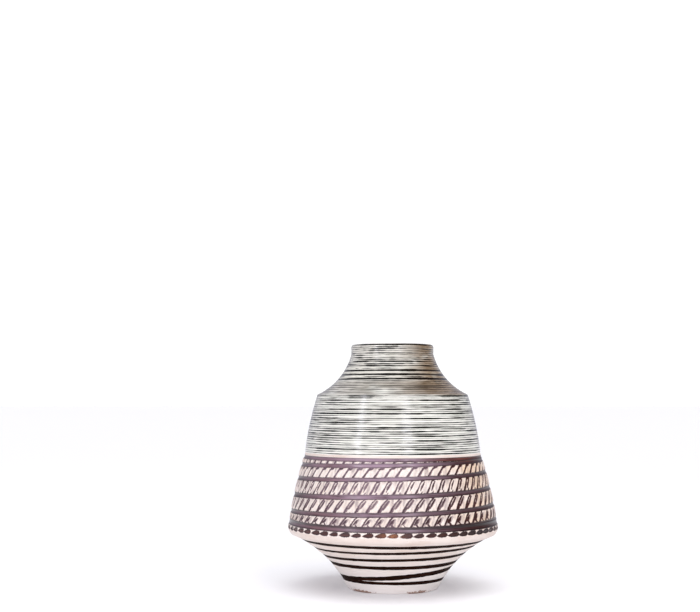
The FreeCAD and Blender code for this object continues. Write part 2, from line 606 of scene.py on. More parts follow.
@dataclass(frozen=True)
class CarvedSlip(Finish):
    """Satin dark slip that lies in the carving and is wiped off the raised clay, with painted shade on
    clay and slip and a painted lavender sheen.
    """

    name: str = "carved_dark_slip"
    brown: Colour = (0.038, 0.012, 0.011)
    sheen_lavender: Colour = (0.33, 0.225, 0.285)
    deep: Colour = (0.012, 0.005, 0.005)
    red: Colour = (0.145, 0.042, 0.030)
    rust: Colour = (0.29, 0.115, 0.055)
    clay: Colour = (0.74, 0.61, 0.54)
    chalk: Colour = (0.88, 0.82, 0.78)
    gold: Colour = (0.76, 0.57, 0.40)
    shade_lavender: Colour = (0.22, 0.155, 0.165)

    def mix(self, bench: Bench) -> None:
        """Lays out the material's nodes."""
        ragged = bench.noise((0.9, 0.9, 1.2), 3.0, 0.6)
        fine = bench.noise((2.2, 2.2, 2.2), 2.0, 0.6, (3, 8, 1))
        streak = bench.noise((0.03, 0.03, 1.6), 3.0, 0.6)
        cloud = bench.noise((0.05, 0.05, 0.08), 3.0, 0.5, (5, 2, 8))
        warm, thin = bench.note("warm"), bench.note("thin")
        shown = bench.note("slip") + (ragged - 0.5) * 0.9
        dark = bench.rise(shown, -0.16, 0.14)
        # Painted shade: wash greys the raised clay on one side of each mark and round the cuts and
        # notches, and near darkens clay just beside the cuts; both tint it towards shade_lavender.
        wash = bench.rise(bench.note("wash") + (ragged - 0.5) * 1.6 + (cloud - 0.5) * 0.9, -0.6, 0.45)
        near = bench.rise(shown, -0.8, 0.1) * bench.rise(cloud + fine * 0.4, 0.5, 0.85)
        clay = bench.tint(bench.rise(ragged, 0.35, 0.65), self.clay, self.chalk)
        clay = bench.tint(warm * bench.rise(cloud + ragged * 0.6, 0.55, 0.95), clay, self.gold)
        clay = bench.tint((wash * 0.7 + near * 0.5) * (1.1 - warm * 0.4), clay, self.shade_lavender)
        # Painted reflection: where the slip is thin it is painted lavender, standing in for the
        # softboxes' sheen at the front and on the left.
        slip = bench.tint(thin * bench.rise(streak + cloud * 0.5, 0.45, 0.85), self.brown, self.sheen_lavender)
        slip = bench.tint(bench.note("red") * bench.rise(streak, 0.35, 0.6), slip, self.red)
        # Painted shade: the slip is darkened towards deep where pool is set, along the band's edges, in
        # deep cuts and on the notches.
        slip = bench.tint(bench.note("pool") * (1.0 - thin * 0.45), slip, self.deep)
        slip = bench.tint(bench.note("rust") * bench.rise(ragged, 0.3, 0.55), slip, self.rust)
        bench.cover({
            "Base Color": bench.tint(dark, clay, slip),
            "Roughness": 0.5 - dark * 0.2 + fine * 0.08,
            "Specular IOR Level": 0.3,
            "Coat Weight": dark * (0.15 + thin * 0.85),
            "Coat Roughness": 0.2,
            "Normal": bench.bump(streak * 0.6 + fine * 0.4, 0.35, 0.2),
        })


@dataclass(frozen=True)
class TrailedSlip(Finish):
    """Near-black slip, trailed thickly enough to stand a little proud."""

    name: str = "trailed_black_slip"
    black: Colour = (0.010, 0.003, 0.001)
    brown: Colour = (0.034, 0.010, 0.005)

    def mix(self, bench: Bench) -> None:
        """Lays out the material's nodes."""
        streak = bench.noise((0.05, 0.05, 1.4), 3.0, 0.6)
        fine = bench.noise((1.5, 1.5, 1.5), 2.0, 0.5)
        bench.cover({
            "Base Color": bench.tint(bench.rise(streak, 0.45, 0.75), self.black, self.brown),
            "Roughness": 0.5 + fine * 0.15,
            "Specular IOR Level": 0.03,
            "Normal": bench.bump(fine, 0.3, 0.15),
        })


@dataclass(frozen=True)
class StreakedGlaze(Finish):
    """Clear glaze over a cream ground with dry green-black strokes laid on the turning wheel, with
    painted shadow over the flare and neck.
    """

    name: str = "brushed_shoulder_glaze"
    cream: Colour = (0.86, 0.85, 0.78)
    celadon: Colour = (0.46, 0.48, 0.42)
    khaki: Colour = (0.17, 0.115, 0.065)
    sand: Colour = (0.41, 0.32, 0.23)
    stroke: Colour = (0.009, 0.010, 0.007)
    umber: Colour = (0.012, 0.006, 0.003)
    faint: Colour = (0.12, 0.115, 0.09)

    def mix(self, bench: Bench) -> None:
        """Lays out the material's nodes."""
        brushed = bench.noise((0.04, 0.04, 2.2), 4.0, 0.65)
        bristle = bench.noise((0.16, 0.16, 3.6), 3.0, 0.65, (4, 4, 4))
        cloud = bench.noise((0.02, 0.02, 0.05), 3.0, 0.5, (9, 1, 3))
        # Painted shadow: khaki turns the ground towards sand and khaki, browns the strokes and dulls the
        # coat over the flare and neck, most on the right.
        khaki = bench.note("khaki")
        strong = bench.rise(bench.note("stroke") + (bristle - 0.5) * 0.6, -0.1, 0.14) * bench.note("ink")
        thin = bench.rise(bench.note("line") + (brushed - 0.5) * 0.6, -0.2, 0.25)
        ground = bench.tint(bench.rise(brushed, 0.5, 0.72), self.cream, self.celadon)
        shadowed_ground = bench.tint(bench.rise(brushed + bristle * 0.4, 0.52, 0.8), self.sand, self.khaki)
        ground = bench.tint(khaki * bench.rise(cloud, 0.25, 0.5), ground, shadowed_ground)
        ground = bench.tint(thin * 0.8, ground, self.faint)
        paint = bench.tint(khaki, self.stroke, self.umber)
        bench.cover({
            "Base Color": bench.tint(strong, ground, paint),
            "Roughness": 0.14 + brushed * 0.12,
            "Coat Weight": 0.45 - khaki * 0.35,
            "Coat Roughness": 0.06,
            "Normal": bench.bump(brushed * 0.7 - strong * 0.3, 0.4, 0.2),
        })


@dataclass(frozen=True)
class LinerGlaze(Finish):
    """Plain pale glaze inside, pooled a little greener in the throwing rings."""

    name: str = "poured_liner_glaze"
    pale: Colour = (0.66, 0.64, 0.55)
    pooled: Colour = (0.44, 0.45, 0.35)

    def mix(self, bench: Bench) -> None:
        """Lays out the material's nodes."""
        rings = bench.noise((0.01, 0.01, 0.35), 3.0, 0.6)
        fine = bench.noise((0.4, 0.4, 0.9), 3.0, 0.5)
        bench.cover({
            "Base Color": bench.tint(bench.rise(rings, 0.4, 0.7), self.pale, self.pooled),
            "Roughness": 0.18 + fine * 0.12,
            "Coat Weight": 0.8,
            "Coat Roughness": 0.06,
            "Normal": bench.bump(rings, 0.4, 0.4),
        })


CLAY = BareClay()
CARVED = CarvedSlip()
TRAILED = TrailedSlip()
STREAKED = StreakedGlaze()
LINER = LinerGlaze()


# ---- the dark band and the rows between its turns ----------------------------------------------
@dataclass(frozen=True)
class BandCourse:
    """Where the dark band runs: one coil round the belly, between a ring above and a ring below."""

    middle: tuple[Point, ...] = (
        (-4.0, 69.2),
        (-3.0, 83.4),
        (-2.0, 100.2),
        (-1.0, 116.6),
        (0.0, 129.6),
        (0.5, 135.2),
    )
    half: tuple[Point, ...] = ((-4.0, 2.2), (-3.0, 2.05), (-2.0, 2.1), (-1.0, 1.75), (0.0, 1.8))
    top_ring: Point = (133.1, 136.4)
    foot_ring: Point = (66.6, 71.8)
    tail: float = -3.97
    tip: float = 0.47

    def edges(self, turn: Array) -> tuple[Array, Array]:
        """Lower and upper edge of the coil, kept between the two rings."""
        middle, half = glide(self.middle, turn), glide(self.half, turn)
        low = np.clip(middle - half, self.foot_ring[1], self.top_ring[0])
        return low, np.clip(middle + half, self.foot_ring[1], self.top_ring[0])

    def row_edges(self, turn: Array) -> tuple[Array, Array]:
        """Lower and upper edge of the carved row that lies under this turn of the coil."""
        return self.edges(turn - 1)[1], self.edges(turn)[0]

    def share(self, turn: Array, height: Array) -> Array:
        """How far up each place lies in the carved row under this turn: 0 at its foot, 1 at its top."""
        low, high = self.row_edges(turn)
        return (height - low) / np.maximum(high - low, 0.3)


COURSE = BandCourse()
HAND = Unevenness(seed=11, per_turn=90, per_mm=0.12)
GRAIN = Unevenness(seed=12, per_turn=700, per_mm=0.8)
PATCH = Unevenness(seed=13, per_turn=9, per_mm=0.03)


def side(turn: Array, middle: float, spread: float) -> Array:
    """Goes from 1 at a place round the vase to 0 far from it, as a bell of the given spread."""
    away = (turn - middle + 0.5) % 1.0 - 0.5
    return np.exp(-((away / spread) ** 2))


def warmth(turn: Array, height: Array) -> Array:
    """How golden the clay is: most on the vase's right, and in patches all round."""
    return np.clip(0.95 * side(turn, 0.155, 0.065) + 0.3 * PATCH.at(turn, height) + 0.08, 0, 1)


def thinness_and_sheen(turn: Array, height: Array) -> Array:
    """How thin the slip lies and how much painted lavender reflection it gets: most at the front and
    left, least on the right.
    """
    thin = side(turn, -0.02, 0.105) + 0.45 * side(turn, -0.13, 0.06) + 0.6 * side(turn, 0.5, 0.2)
    thin = thin * (0.8 + 0.35 * step_between(75, 130, height))
    return np.clip(thin + 0.2 * PATCH.at(turn + 0.3, height), 0, 1)


def rust(turn: Array) -> Array:
    """Where iron shows through the slip of the notches: near the front, and weaker all round."""
    weaker = 0.5 * step_between(0.3, 0.9, PATCH.at(turn + 0.37, turn * 0 + 40))
    return np.clip(side(turn, -0.003, 0.014) + weaker * (1 - side(turn, 0.15, 0.12)), 0, 1)


def level(low: float, high: float) -> Edges:
    """Edges that run level round the vase."""
    return lambda turn: (np.full_like(turn, low), np.full_like(turn, high))


def slip_notes(slip: Array, **known: Array) -> Notes:
    """Everything that the carved slip's material reads.

    Args:
        slip: depth into the slip, positive in it.
        known: the other numbers; those left out are 0.

    Returns:
        A full set of notes.
    """
    blank = {name: np.zeros_like(slip) for name in ("warm", "wash", "thin", "pool", "red", "rust")}
    return {"slip": slip, **blank, **known}


def roll_carved(skin: Skin, node: str) -> Piece:
    """Makes a skin of carved dark slip and hands it over."""
    return hand_over(skin.roll(), CARVED, "dark_slip", node)


@dataclass
class DarkBand:
    """The dark band: a ring under the glaze, a coil and a ring over the keel."""

    depth: float = 0.42
    lip: float = 0.32
    rows: int = 10

    def relief(self, edges: Edges, turn: Array, height: Array) -> tuple[Array, Notes]:
        """Shapes the slip, which is a shallow channel with a few ribs left by the tool.

        Args:
            edges: where the band runs.
            turn: places round the vase.
            height: heights.

        Returns:
            Height of the slip over the outline, and what its material needs to know.
        """
        low, high = edges(turn)
        wide = np.maximum(high - low, 0.2)
        across = np.clip(2 * (height - low) / wide - 1, -1, 1)
        hand = HAND.at(turn, height)
        ribs = 0.06 * np.sin(height * 4.4 + 2.0 * hand) + 0.05 * hand
        lift = ribs * (1 - across**4) - self.depth * (1 - across**2) - self.lip
        # Painted shade: the slip is darkened along both edges of the band and over a stretch high on the
        # keel ring.
        shade = 0.85 * step_between(69.0, 70.4, height) * (1 - step_between(71.7, 72.0, height))
        rim = 0.95 * step_between(0.45, 0.95, np.abs(across))
        red = 1.1 * side(turn, 0.12, 0.06) * (height > 132) + 0.5 * side(turn, -0.12, 0.05)
        return lift, slip_notes(
            np.ones_like(turn),
            wash=np.full_like(turn, -3.0),
            thin=thinness_and_sheen(turn, height),
            pool=np.clip(rim + shade, 0, 1),
            red=np.clip(red, 0, 1),
        )

    def ring(self, name: str, low: float, high: float, node: str) -> Piece:
        """One closed ring of the band."""
        edges = level(low, high)
        rows = max(self.rows, round((high - low) / CARVED_STEP))
        return roll_carved(Skin(name, -0.5, 0.5, edges, partial(self.relief, edges), rows), node)

    def coil(self, name: str, start: float, end: float, node: str) -> Piece:
        """One stretch of the coil."""
        columns = round(COLUMNS * (end - start))
        relief = partial(self.relief, COURSE.edges)
        return roll_carved(Skin(name, start, end, COURSE.edges, relief, self.rows, columns), node)

    def build(self) -> list[Piece]:
        """All pieces of the band, from the top down."""
        return [
            self.ring("band_ring_top", *COURSE.top_ring, "slip_band_5"),
            self.coil("band_coil_1", -0.5, COURSE.tip, "slip_band_5"),
            self.coil("band_coil_2", -1.5, -0.5, "slip_band_4"),
            self.coil("band_coil_3", -2.5, -1.5, "slip_band_3"),
            self.coil("band_coil_4", COURSE.tail, -2.5, "slip_band_2"),
            self.ring("band_ring_keel", *COURSE.foot_ring, "slip_band_1"),
        ]


Pull = tuple[Triple, ...]


@dataclass(frozen=True)
class Carving:
    """How one row is cut. Each pull of the tool is a path of place across, place up and half width.

    Places are millimetres from the low end of a mark's main cut. Shade pulls mark painted shade on the
    clay beside the cuts, which also sinks there a little. Sway is how much more the marks lean on the
    vase's right than at its front.
    """

    phase: float
    tall: float
    sway: float
    cuts: tuple[Pull, ...]
    shade_pulls: tuple[Pull, ...]


class Row(Enum):
    """The rows of marks, from the top down."""

    DASHES = Carving(
        phase=0.62,
        tall=2.0,
        sway=0.10,
        cuts=(((-0.8, -0.6, 1.25), (0.6, 2.6, 1.0)),),
        shade_pulls=(((1.2, 0.0, 0.6), (2.4, 2.0, 0.5)),),
    )
    SLANTS = Carving(
        phase=0.30,
        tall=8.6,
        sway=0.24,
        cuts=(
            ((-0.4, -0.6, 0.9), (1.6, 2.6, 0.62), (4.2, 6.0, 0.62), (6.4, 8.6, 0.7)),
            ((4.0, 7.0, 0.35), (7.6, 7.6, 0.75), (9.2, 8.4, 0.5)),
        ),
        shade_pulls=(((3.9, 7.0, 0.4), (8.8, 7.3, 0.8)), ((1.6, 0.9, 0.9), (3.4, 3.4, 0.4))),
    )
    LOOPS = Carving(
        phase=0.52,
        tall=11.8,
        sway=0.05,
        cuts=(
            ((-0.5, -0.4, 0.5), (0.7, 1.5, 0.85), (2.1, 4.4, 0.6), (3.4, 8.0, 0.42), (5.2, 11.9, 0.5)),
            ((4.6, 2.6, 0.25), (5.6, 5.2, 0.6), (6.6, 7.4, 0.62), (7.7, 10.2, 0.35)),
            ((5.0, 10.9, 0.45), (7.4, 11.8, 0.5)),
            ((5.6, -0.2, 0.4), (6.4, 1.5, 0.28)),
        ),
        shade_pulls=(((5.4, 6.0, 1.3), (8.2, 10.2, 0.8)), ((0.4, 0.8, 1.5), (1.8, 3.0, 0.9))),
    )
    STEPS = Carving(
        phase=0.82,
        tall=12.1,
        sway=0.08,
        cuts=(
            ((-0.2, -0.5, 0.9), (0.7, 2.4, 0.85), (2.1, 6.0, 0.55), (4.3, 9.4, 0.45), (6.8, 12.2, 0.45)),
            ((4.0, 3.0, 0.2), (5.2, 5.6, 0.5), (6.4, 7.6, 0.6), (8.0, 10.4, 0.35)),
            ((2.2, 1.0, 0.25), (3.2, 4.2, 0.35)),
        ),
        shade_pulls=(((4.6, 5.2, 1.6), (8.2, 10.0, 1.1)), ((0.9, 1.8, 1.5), (2.2, 5.0, 0.8))),
    )
    FLAGS = Carving(
        phase=0.93,
        tall=8.9,
        sway=0.06,
        cuts=(
            ((-0.2, -0.6, 0.75), (1.7, 3.4, 0.6), (3.3, 6.6, 0.62), (5.4, 9.1, 0.5)),
            ((3.4, 2.6, 0.6), (5.0, 4.4, 1.15), (5.9, 6.2, 0.55)),
            ((5.0, 1.8, 0.4), (6.9, -0.4, 0.55)),
        ),
        shade_pulls=(((5.0, 3.2, 1.5), (7.4, 6.4, 1.1)), ((2.2, 0.9, 0.8), (3.2, 2.0, 0.8))),
    )


def to_segment(start: Point, end: Point, x: Array, y: Array) -> tuple[Array, Array]:
    """Finds the place on a straight line that is nearest to each place.

    Args:
        start: where the line starts.
        end: where it ends.
        x: places across.
        y: places up.

    Returns:
        The share of the way along the line, and the distance from it there.
    """
    (ax, ay), (bx, by) = start, end
    ex, ey = bx - ax, by - ay
    along = np.clip(((x - ax) * ex + (y - ay) * ey) / (ex * ex + ey * ey), 0, 1)
    return along, np.hypot(x - ax - along * ex, y - ay - along * ey)


def into(pull: Pull, x: Array, y: Array) -> Array:
    """How far places lie inside a pull of the tool.

    Args:
        pull: points of place across, place up and half width.
        x: places across.
        y: places up.

    Returns:
        Distance from the edge of the cut, positive inside it.
    """
    best = np.full_like(x, -FAR_OFF)
    for (*start, thin), (*end, thick) in zip(pull, pull[1:]):
        along, away = to_segment(start, end, x, y)
        best = np.maximum(best, thin + (thick - thin) * along - away)
    return best


@dataclass
class CarvedRows:
    """The rows of slanting marks between the turns of the dark band."""

    per_turn: float = 56.5
    mean_radius: float = 100.0
    stand: float = 0.10
    sunk: float = 0.62
    lean: float = 0.15
    seed: int = 5

    def __post_init__(self) -> None:
        """Throws the dice once for every mark, so that no two are quite alike."""
        self.chance = np.random.default_rng(self.seed).uniform(-1, 1, (512, 6))

    def marks(self, row: Row, turn: Array, height: Array) -> tuple[Array, Array, Array]:
        """Finds out what the tool has done at each place.

        Args:
            row: which row it is.
            turn: places round the vase.
            height: heights.

        Returns:
            Depth into the cuts, depth into the painted shade pulls, and the share of the way across the
            mark.
        """
        carving = row.value
        pitch = TURN * self.mean_radius / self.per_turn
        spot = turn * self.per_turn - carving.phase
        right = np.sin(TURN * turn)
        heavy = 0.24 + 0.32 * step_between(0.25, 0.9, right) + 0.10 * step_between(0.3, 0.9, -right)
        rise = COURSE.share(turn, height) * carving.tall
        cut, wash = np.full_like(turn, -FAR_OFF), np.full_like(turn, -FAR_OFF)
        for shift in (-1, 0, 1):
            number = np.floor(spot).astype(int) + shift
            dice = self.chance[number % len(self.chance)]
            x = (spot - number) * pitch - (self.lean + carving.sway * right) * rise
            x = x + 0.35 * dice[:, 0] + 0.03 * dice[:, 1] * rise + 0.12 * HAND.at(turn * 2, height)
            y = rise + 0.22 * dice[:, 2]
            swell = 0.12 * dice[:, 3] + 0.10 * HAND.at(turn * 3, height)
            for i, pull in enumerate(carving.cuts):
                faint = 0.0 if i == 0 else 0.25 * np.clip(dice[:, 4], 0, 1)
                cut = np.maximum(cut, into(pull, x, y) + heavy + swell - faint)
            for pull in carving.shade_pulls:
                wash = np.maximum(wash, into(pull, x, y) + 0.3 * dice[:, 5])
        return cut, wash, (spot - rise * 0.5 / pitch) % 1.0

    def relief(self, row: Row, turn: Array, height: Array) -> tuple[Array, Notes]:
        """Shapes the carving.

        Args:
            row: which row it is.
            turn: places round the vase.
            height: heights.

        Returns:
            Height of the carving over the outline, and what its material needs to know.
        """
        cut, wash, across = self.marks(row, turn, height)
        low, high = COURSE.row_edges(turn)
        rim = np.minimum(height - low, high - height)
        grain = GRAIN.at(turn, height)
        cut = np.maximum(cut, 0.28 - rim) + 0.24 * grain
        # Painted shade: shade_sweep greys one side of every mark, more so high in the row.
        shade_sweep = 0.42 * np.cos(TURN * (across - 0.7)) + 0.25 * COURSE.share(turn, height)
        wash = np.maximum(wash, shade_sweep - 0.72 + 0.4 * HAND.at(turn * 4, height))
        deep = step_between(-0.7, 0.45, cut)
        tilt = 0.14 * np.sin(TURN * across) + 0.05 * HAND.at(turn, height)
        soft = 0.16 * step_between(-0.6, 0.6, wash)
        lift = (self.stand + tilt - soft) * (1 - deep) - self.sunk * deep + 0.03 * grain
        warm = warmth(turn, height)
        thin = thinness_and_sheen(turn, height) * 0.7 - 0.25 * step_between(0.2, 0.8, cut)
        # Painted shade: the slip is darkened deeper in the cuts.
        pool = 0.35 * step_between(0.3, 0.9, cut)
        return lift, slip_notes(
            cut, warm=warm, wash=wash, thin=np.clip(thin, 0, 1), pool=pool, red=0.35 * warm
        )

    def row(self, name: str, row: Row, span: Point, rows: int, node: str) -> Piece:
        """One stretch of a carved row, from the first turn of its span to the last."""
        columns = round(COLUMNS * (span[1] - span[0]))
        skin = Skin(name, *span, COURSE.row_edges, partial(self.relief, row), rows, columns)
        return roll_carved(skin, node)

    def build(self) -> list[Piece]:
        """All rows from the top down."""
        return [
            self.row("carved_row_dashes", Row.DASHES, (0.5, 1.12), 14, "carved_row_4"),
            self.row("carved_row_slants", Row.SLANTS, (-0.5, 0.5), 26, "carved_row_4"),
            self.row("carved_row_loops", Row.LOOPS, (-1.5, -0.5), 33, "carved_row_3"),
            self.row("carved_row_steps", Row.STEPS, (-2.5, -1.5), 33, "carved_row_2"),
            self.row("carved_row_flags", Row.FLAGS, (-3.6, -2.5), 26, "carved_row_1"),
        ]


def outside_of(corners: Sequence[Point], x: Array, y: Array) -> Array:
    """Signed distance to an outline.

    Args:
        corners: the outline's corners in order, in millimetres.
        x: places across.
        y: places up.

    Returns:
        Distance from the outline, negative inside it.
    """
    away = np.full_like(x, np.inf)
    inside = np.zeros(x.shape, bool)
    for (ax, ay), (bx, by) in zip(corners, [*corners[1:], corners[0]]):
        away = np.minimum(away, to_segment((ax, ay), (bx, by), x, y)[1])
        crosses = (ay > y) != (by > y)
        inside ^= crosses & (x < (y - ay) * (bx - ax) / (by - ay) + ax)
    return np.where(inside, -away, away)


@dataclass
class KeelNotches:
    """The row of pointed notches that a tool has pressed along the keel."""

    low: float = KEEL_LINE
    high: float = 66.6
    per_turn: int = 56
    middle: float = 63.8
    keel_radius: float = 108.0
    depth: float = 0.95
    border: float = 0.35  # width of the dark line over the notches
    seed: int = 8
    notch: tuple[Point, ...] = (
        *((-6.4, -0.4), (-3.8, 1.1), (-0.9, 2.3), (3.2, 2.4), (5.2, 1.2)),
        *((5.4, -0.9), (3.6, -2.1), (-0.4, -2.3), (-3.8, -1.7)),
    )

    def relief(self, turn: Array, height: Array) -> tuple[Array, Notes]:
        """Shapes the notches.

        Args:
            turn: places round the vase.
            height: heights.

        Returns:
            Height of the keel over the outline, and what its material needs to know.
        """
        chance = np.random.default_rng(self.seed).uniform(-1, 1, (self.per_turn, 4))
        spot = turn * self.per_turn + 0.42
        cell = TURN * self.keel_radius / self.per_turn
        right = side(turn, 0.14, 0.09)
        nearest = np.full_like(turn, np.inf)
        for shift in (-1, 0, 1):
            number = np.floor(spot).astype(int) + shift
            dice = chance[number % self.per_turn]
            size = 0.93 + 0.24 * right + 0.12 * dice[:, 0]
            x = ((spot - number - 0.5) * cell + 0.7 * dice[:, 1]) / size
            y = (height - self.middle - 0.2 * dice[:, 2] - 0.04 * x) / np.clip(size, 0.9, 1.02)
            nearest = np.minimum(nearest, outside_of(self.notch, x, y) * size)
        under = self.high - height
        grain = GRAIN.at(turn, height)
        edge = np.maximum(-nearest, self.border - under) + 0.16 * grain
        sunk = step_between(-0.35, 0.9, -nearest)
        border = step_between(-0.5, 0.3, self.border - under)
        lift = -self.border * border - self.depth * sunk * (1 - border) + 0.03 * grain
        # Painted shade: wash darkens the clay round each notch, and pool darkens the notches, most on
        # the vase's right.
        return lift, slip_notes(
            edge,
            warm=0.3 * warmth(turn, height),
            wash=-0.3 - nearest * 1.4,
            thin=0.1 * thinness_and_sheen(turn, height),
            pool=0.15 + 0.7 * right,
            red=0.5 * step_between(0.3, 1.2, -nearest),
            rust=rust(turn) * step_between(0.0, 0.5, -nearest),
        )

    def build(self) -> list[Piece]:
        """The ring of notches."""
        skin = Skin("keel_notches", -0.5, 0.5, level(self.low, self.high), self.relief, 17)
        return [roll_carved(skin, "notch_row")]


# ---- clay sections -----------------------------------------------------------------------------
@dataclass(frozen=True)
class LineCourse:
    """Where the trailed line runs on the cone: a ring at each end and one spiral between them."""

    spiral: tuple[Point, ...] = (
        *((-0.30, 13.0), (-0.14, 14.2), (-0.03, 16.4), (0.08, 19.6), (0.14, 21.1), (0.35, 24.6)),
        *((0.6, 26.6), (1.0, 27.8), (1.14, 28.6), (1.5, 31.8), (2.0, 36.3), (2.14, 37.3)),
        *((2.5, 40.2), (3.0, 44.1), (3.14, 45.3), (3.5, 48.2), (3.8, 50.6)),
    )
    width: tuple[Point, ...] = (
        *((-0.3, 4.4), (-0.03, 5.0), (0.14, 5.4), (0.6, 4.8), (1.0, 4.4), (1.14, 4.2)),
        *((1.86, 3.4), (2.14, 3.7), (2.86, 2.7), (3.0, 3.3), (3.14, 3.5), (3.8, 2.8)),
    )
    foot_ring: Point = (11.1, 3.9)
    keel_ring: Point = (50.9, 3.9)

    def hollow(self, turn: Array, height: Array) -> Array:
        """Depth of the shallow groove that the line lies in.

        Args:
            turn: places round the vase.
            height: heights.

        Returns:
            1 in the middle of the line, and 0 away from it.
        """
        start, end = self.spiral[0][0], self.spiral[-1][0]
        courses = [(*self.foot_ring, True), (*self.keel_ring, True)]
        for lap in range(-1, 5):
            here = turn + lap
            on = (here >= start) & (here <= end)
            courses.append((glide(self.spiral, here), glide(self.width, here), on))
        near = np.zeros_like(turn)
        for middle, width, on in courses:
            bell = np.exp(-(((height - middle) / (0.75 * width)) ** 2))
            near = np.maximum(near, np.where(on, bell, 0))
        return near


LINE = LineCourse()
TURNING = Unevenness(seed=21, per_turn=7, per_mm=1.15)
SWELL = Unevenness(seed=22, per_turn=5, per_mm=0.16)


def cone_relief(turn: Array, height: Array) -> Array:
    """Shape of the turned cone over its outline: ribs, the groove of the line, and turning marks."""
    marks = 0.05 * TURNING.at(turn, height) + 0.12 * SWELL.at(turn, height)
    fade = step_between(0.5, 4.0, height) * (1 - step_between(57.5, 60.2, height))
    return (0.16 + marks) * fade - 0.62 * LINE.hollow(turn, height)


@dataclass
class Bead:
    """One stretch of the trailed line, as a low bead in its groove.

    A closed ring has its middle height and its width in ring. The spiral has none.
    """

    name: str
    start: float
    end: float
    ring: Point | None = None
    depth: float = 1.3

    def band(self, turn: Array) -> tuple[Array, Array]:
        """Follows the bead as the hand laid it.

        Args:
            turn: places round the vase.

        Returns:
            Middle height and half width of the bead at each place.
        """
        if self.ring:
            middle, wide = (np.full_like(turn, size) for size in self.ring)
        else:
            taper = step_between(self.start - 0.01, self.start + 0.04, turn)
            taper = taper * (1 - step_between(self.end - 0.08, self.end + 0.02, turn))
            middle = glide(LINE.spiral, turn)
            wide = glide(LINE.width, turn) * (0.25 + 0.75 * taper)
        wide = wide * (1 + 0.12 * HAND.at(turn, middle) + 0.1 * SWELL.at(turn * 2, middle))
        return middle, wide / 2

    def edges(self, turn: Array) -> tuple[Array, Array]:
        """Lower and upper edge."""
        middle, half = self.band(turn)
        return middle - half, middle + half

    def relief(self, turn: Array, height: Array) -> tuple[Array, Notes]:
        """Height of the bead over the outline. Its material needs no notes."""
        middle, half = self.band(turn)
        across = np.clip((height - middle) / half, -1, 1)
        return cone_relief(turn, height) + 0.32 * np.sqrt(1 - across**2) - 0.12, {}

    def lay(self, *nodes: str) -> Piece:
        """Makes the bead, which stands for the given CAD nodes."""
        columns = round(300 * (self.end - self.start))
        span = (self.start, self.end)
        skin = Skin(self.name, *span, self.edges, self.relief, 8, columns, self.depth)
        return hand_over(skin.roll(), TRAILED, "line_slip", *nodes)


@dataclass
class BaseSection:
    """Foot, floor and cone in one thrown piece, with the trailed line in its grooves."""

    ring_inner: float = 37.5
    ring_middle: float = 41.5
    recess: float = 2.5
    recess_slope: float = 3.0
    foot_bevel: float = 0.8
    columns: int = 256

    def section(self) -> list[Point]:
        """Half the section, from the axis under the foot, round outside, to the axis on the floor."""
        floor, foot = FLOOR_HEIGHT - COAT, OUTLINE.foot_radius
        outer = np.arange(self.foot_bevel, KEEL_LINE, CARVED_STEP * 0.8)
        top = np.array([KEEL_LINE])
        sleeve = float(OUTLINE.inset(top, SLEEVE_DEPTH)[0])
        return [
            (0.0, self.recess),
            (self.ring_inner - self.recess_slope, self.recess),
            (self.ring_inner - 0.3, 0.3),
            (self.ring_inner + 0.4, 0.0),
            (self.ring_middle, 0.0),
            (foot - 0.4, 0.0),
            (foot + 0.5, 0.25),
            *zip(OUTLINE.radius(outer), outer),
            (float(OUTLINE.radius(top)[0]), KEEL_LINE),
            (sleeve, KEEL_LINE),
            (sleeve, LOWER_SEAM[0]),
            *OUTLINE.behind(np.linspace(LOWER_SEAM[0], floor, 24), WALL - COAT),
            (0.0, floor),
        ]

    def clay(self) -> Piece:
        """The clay itself, with its scorch marks low on the left and the right."""
        piece = turn_on_wheel("base_section_clay", self.section(), self.columns)
        radius, turn, height = polar(piece)
        outside = (np.abs(radius - OUTLINE.radius(height)) < ON_OUTLINE) & (height > 0.5)
        lift = np.where(outside, cone_relief(turn, height), 0)
        write_points(piece, OUTLINE.raised(radius, turn, height, lift))
        marks = side(turn, -0.13, 0.055) + side(turn, 0.09, 0.05) + 0.5 * PATCH.at(turn, height * 0)
        low = 1 - step_between(0.3, 5.0, height)
        add_notes(piece, {"stain": np.clip(marks, 0, 1.2) * low})
        return hand_over(piece, CLAY, "clay", "base_section")

    def build(self) -> list[Piece]:
        """Clay and line."""
        span = (LINE.spiral[0][0], LINE.spiral[-1][0])
        inner = [f"slip_line_{number}" for number in range(2, 6)]
        return [
            self.clay(),
            Bead("trailed_ring_foot", -0.5, 0.5, LINE.foot_ring).lay("slip_line_1"),
            Bead("trailed_spiral", *span).lay(*inner),
            Bead("trailed_ring_keel", -0.5, 0.5, LINE.keel_ring).lay("slip_line_6"),
        ]


def throw(name: str, section: Sequence[Point], slot: str, node: str) -> Piece:
    """Turns a ring of clay without scorch marks.

    Args:
        name: the piece's name.
        section: its section, in order.
        slot: not used; it is passed on to hand_over, which ignores it.
        node: the CAD node that it stands for.

    Returns:
        The piece.
    """
    piece = turn_on_wheel(name, [*section, section[0]])
    add_notes(piece, {"stain": np.zeros(len(piece.data.vertices))})
    return hand_over(piece, CLAY, slot, node)


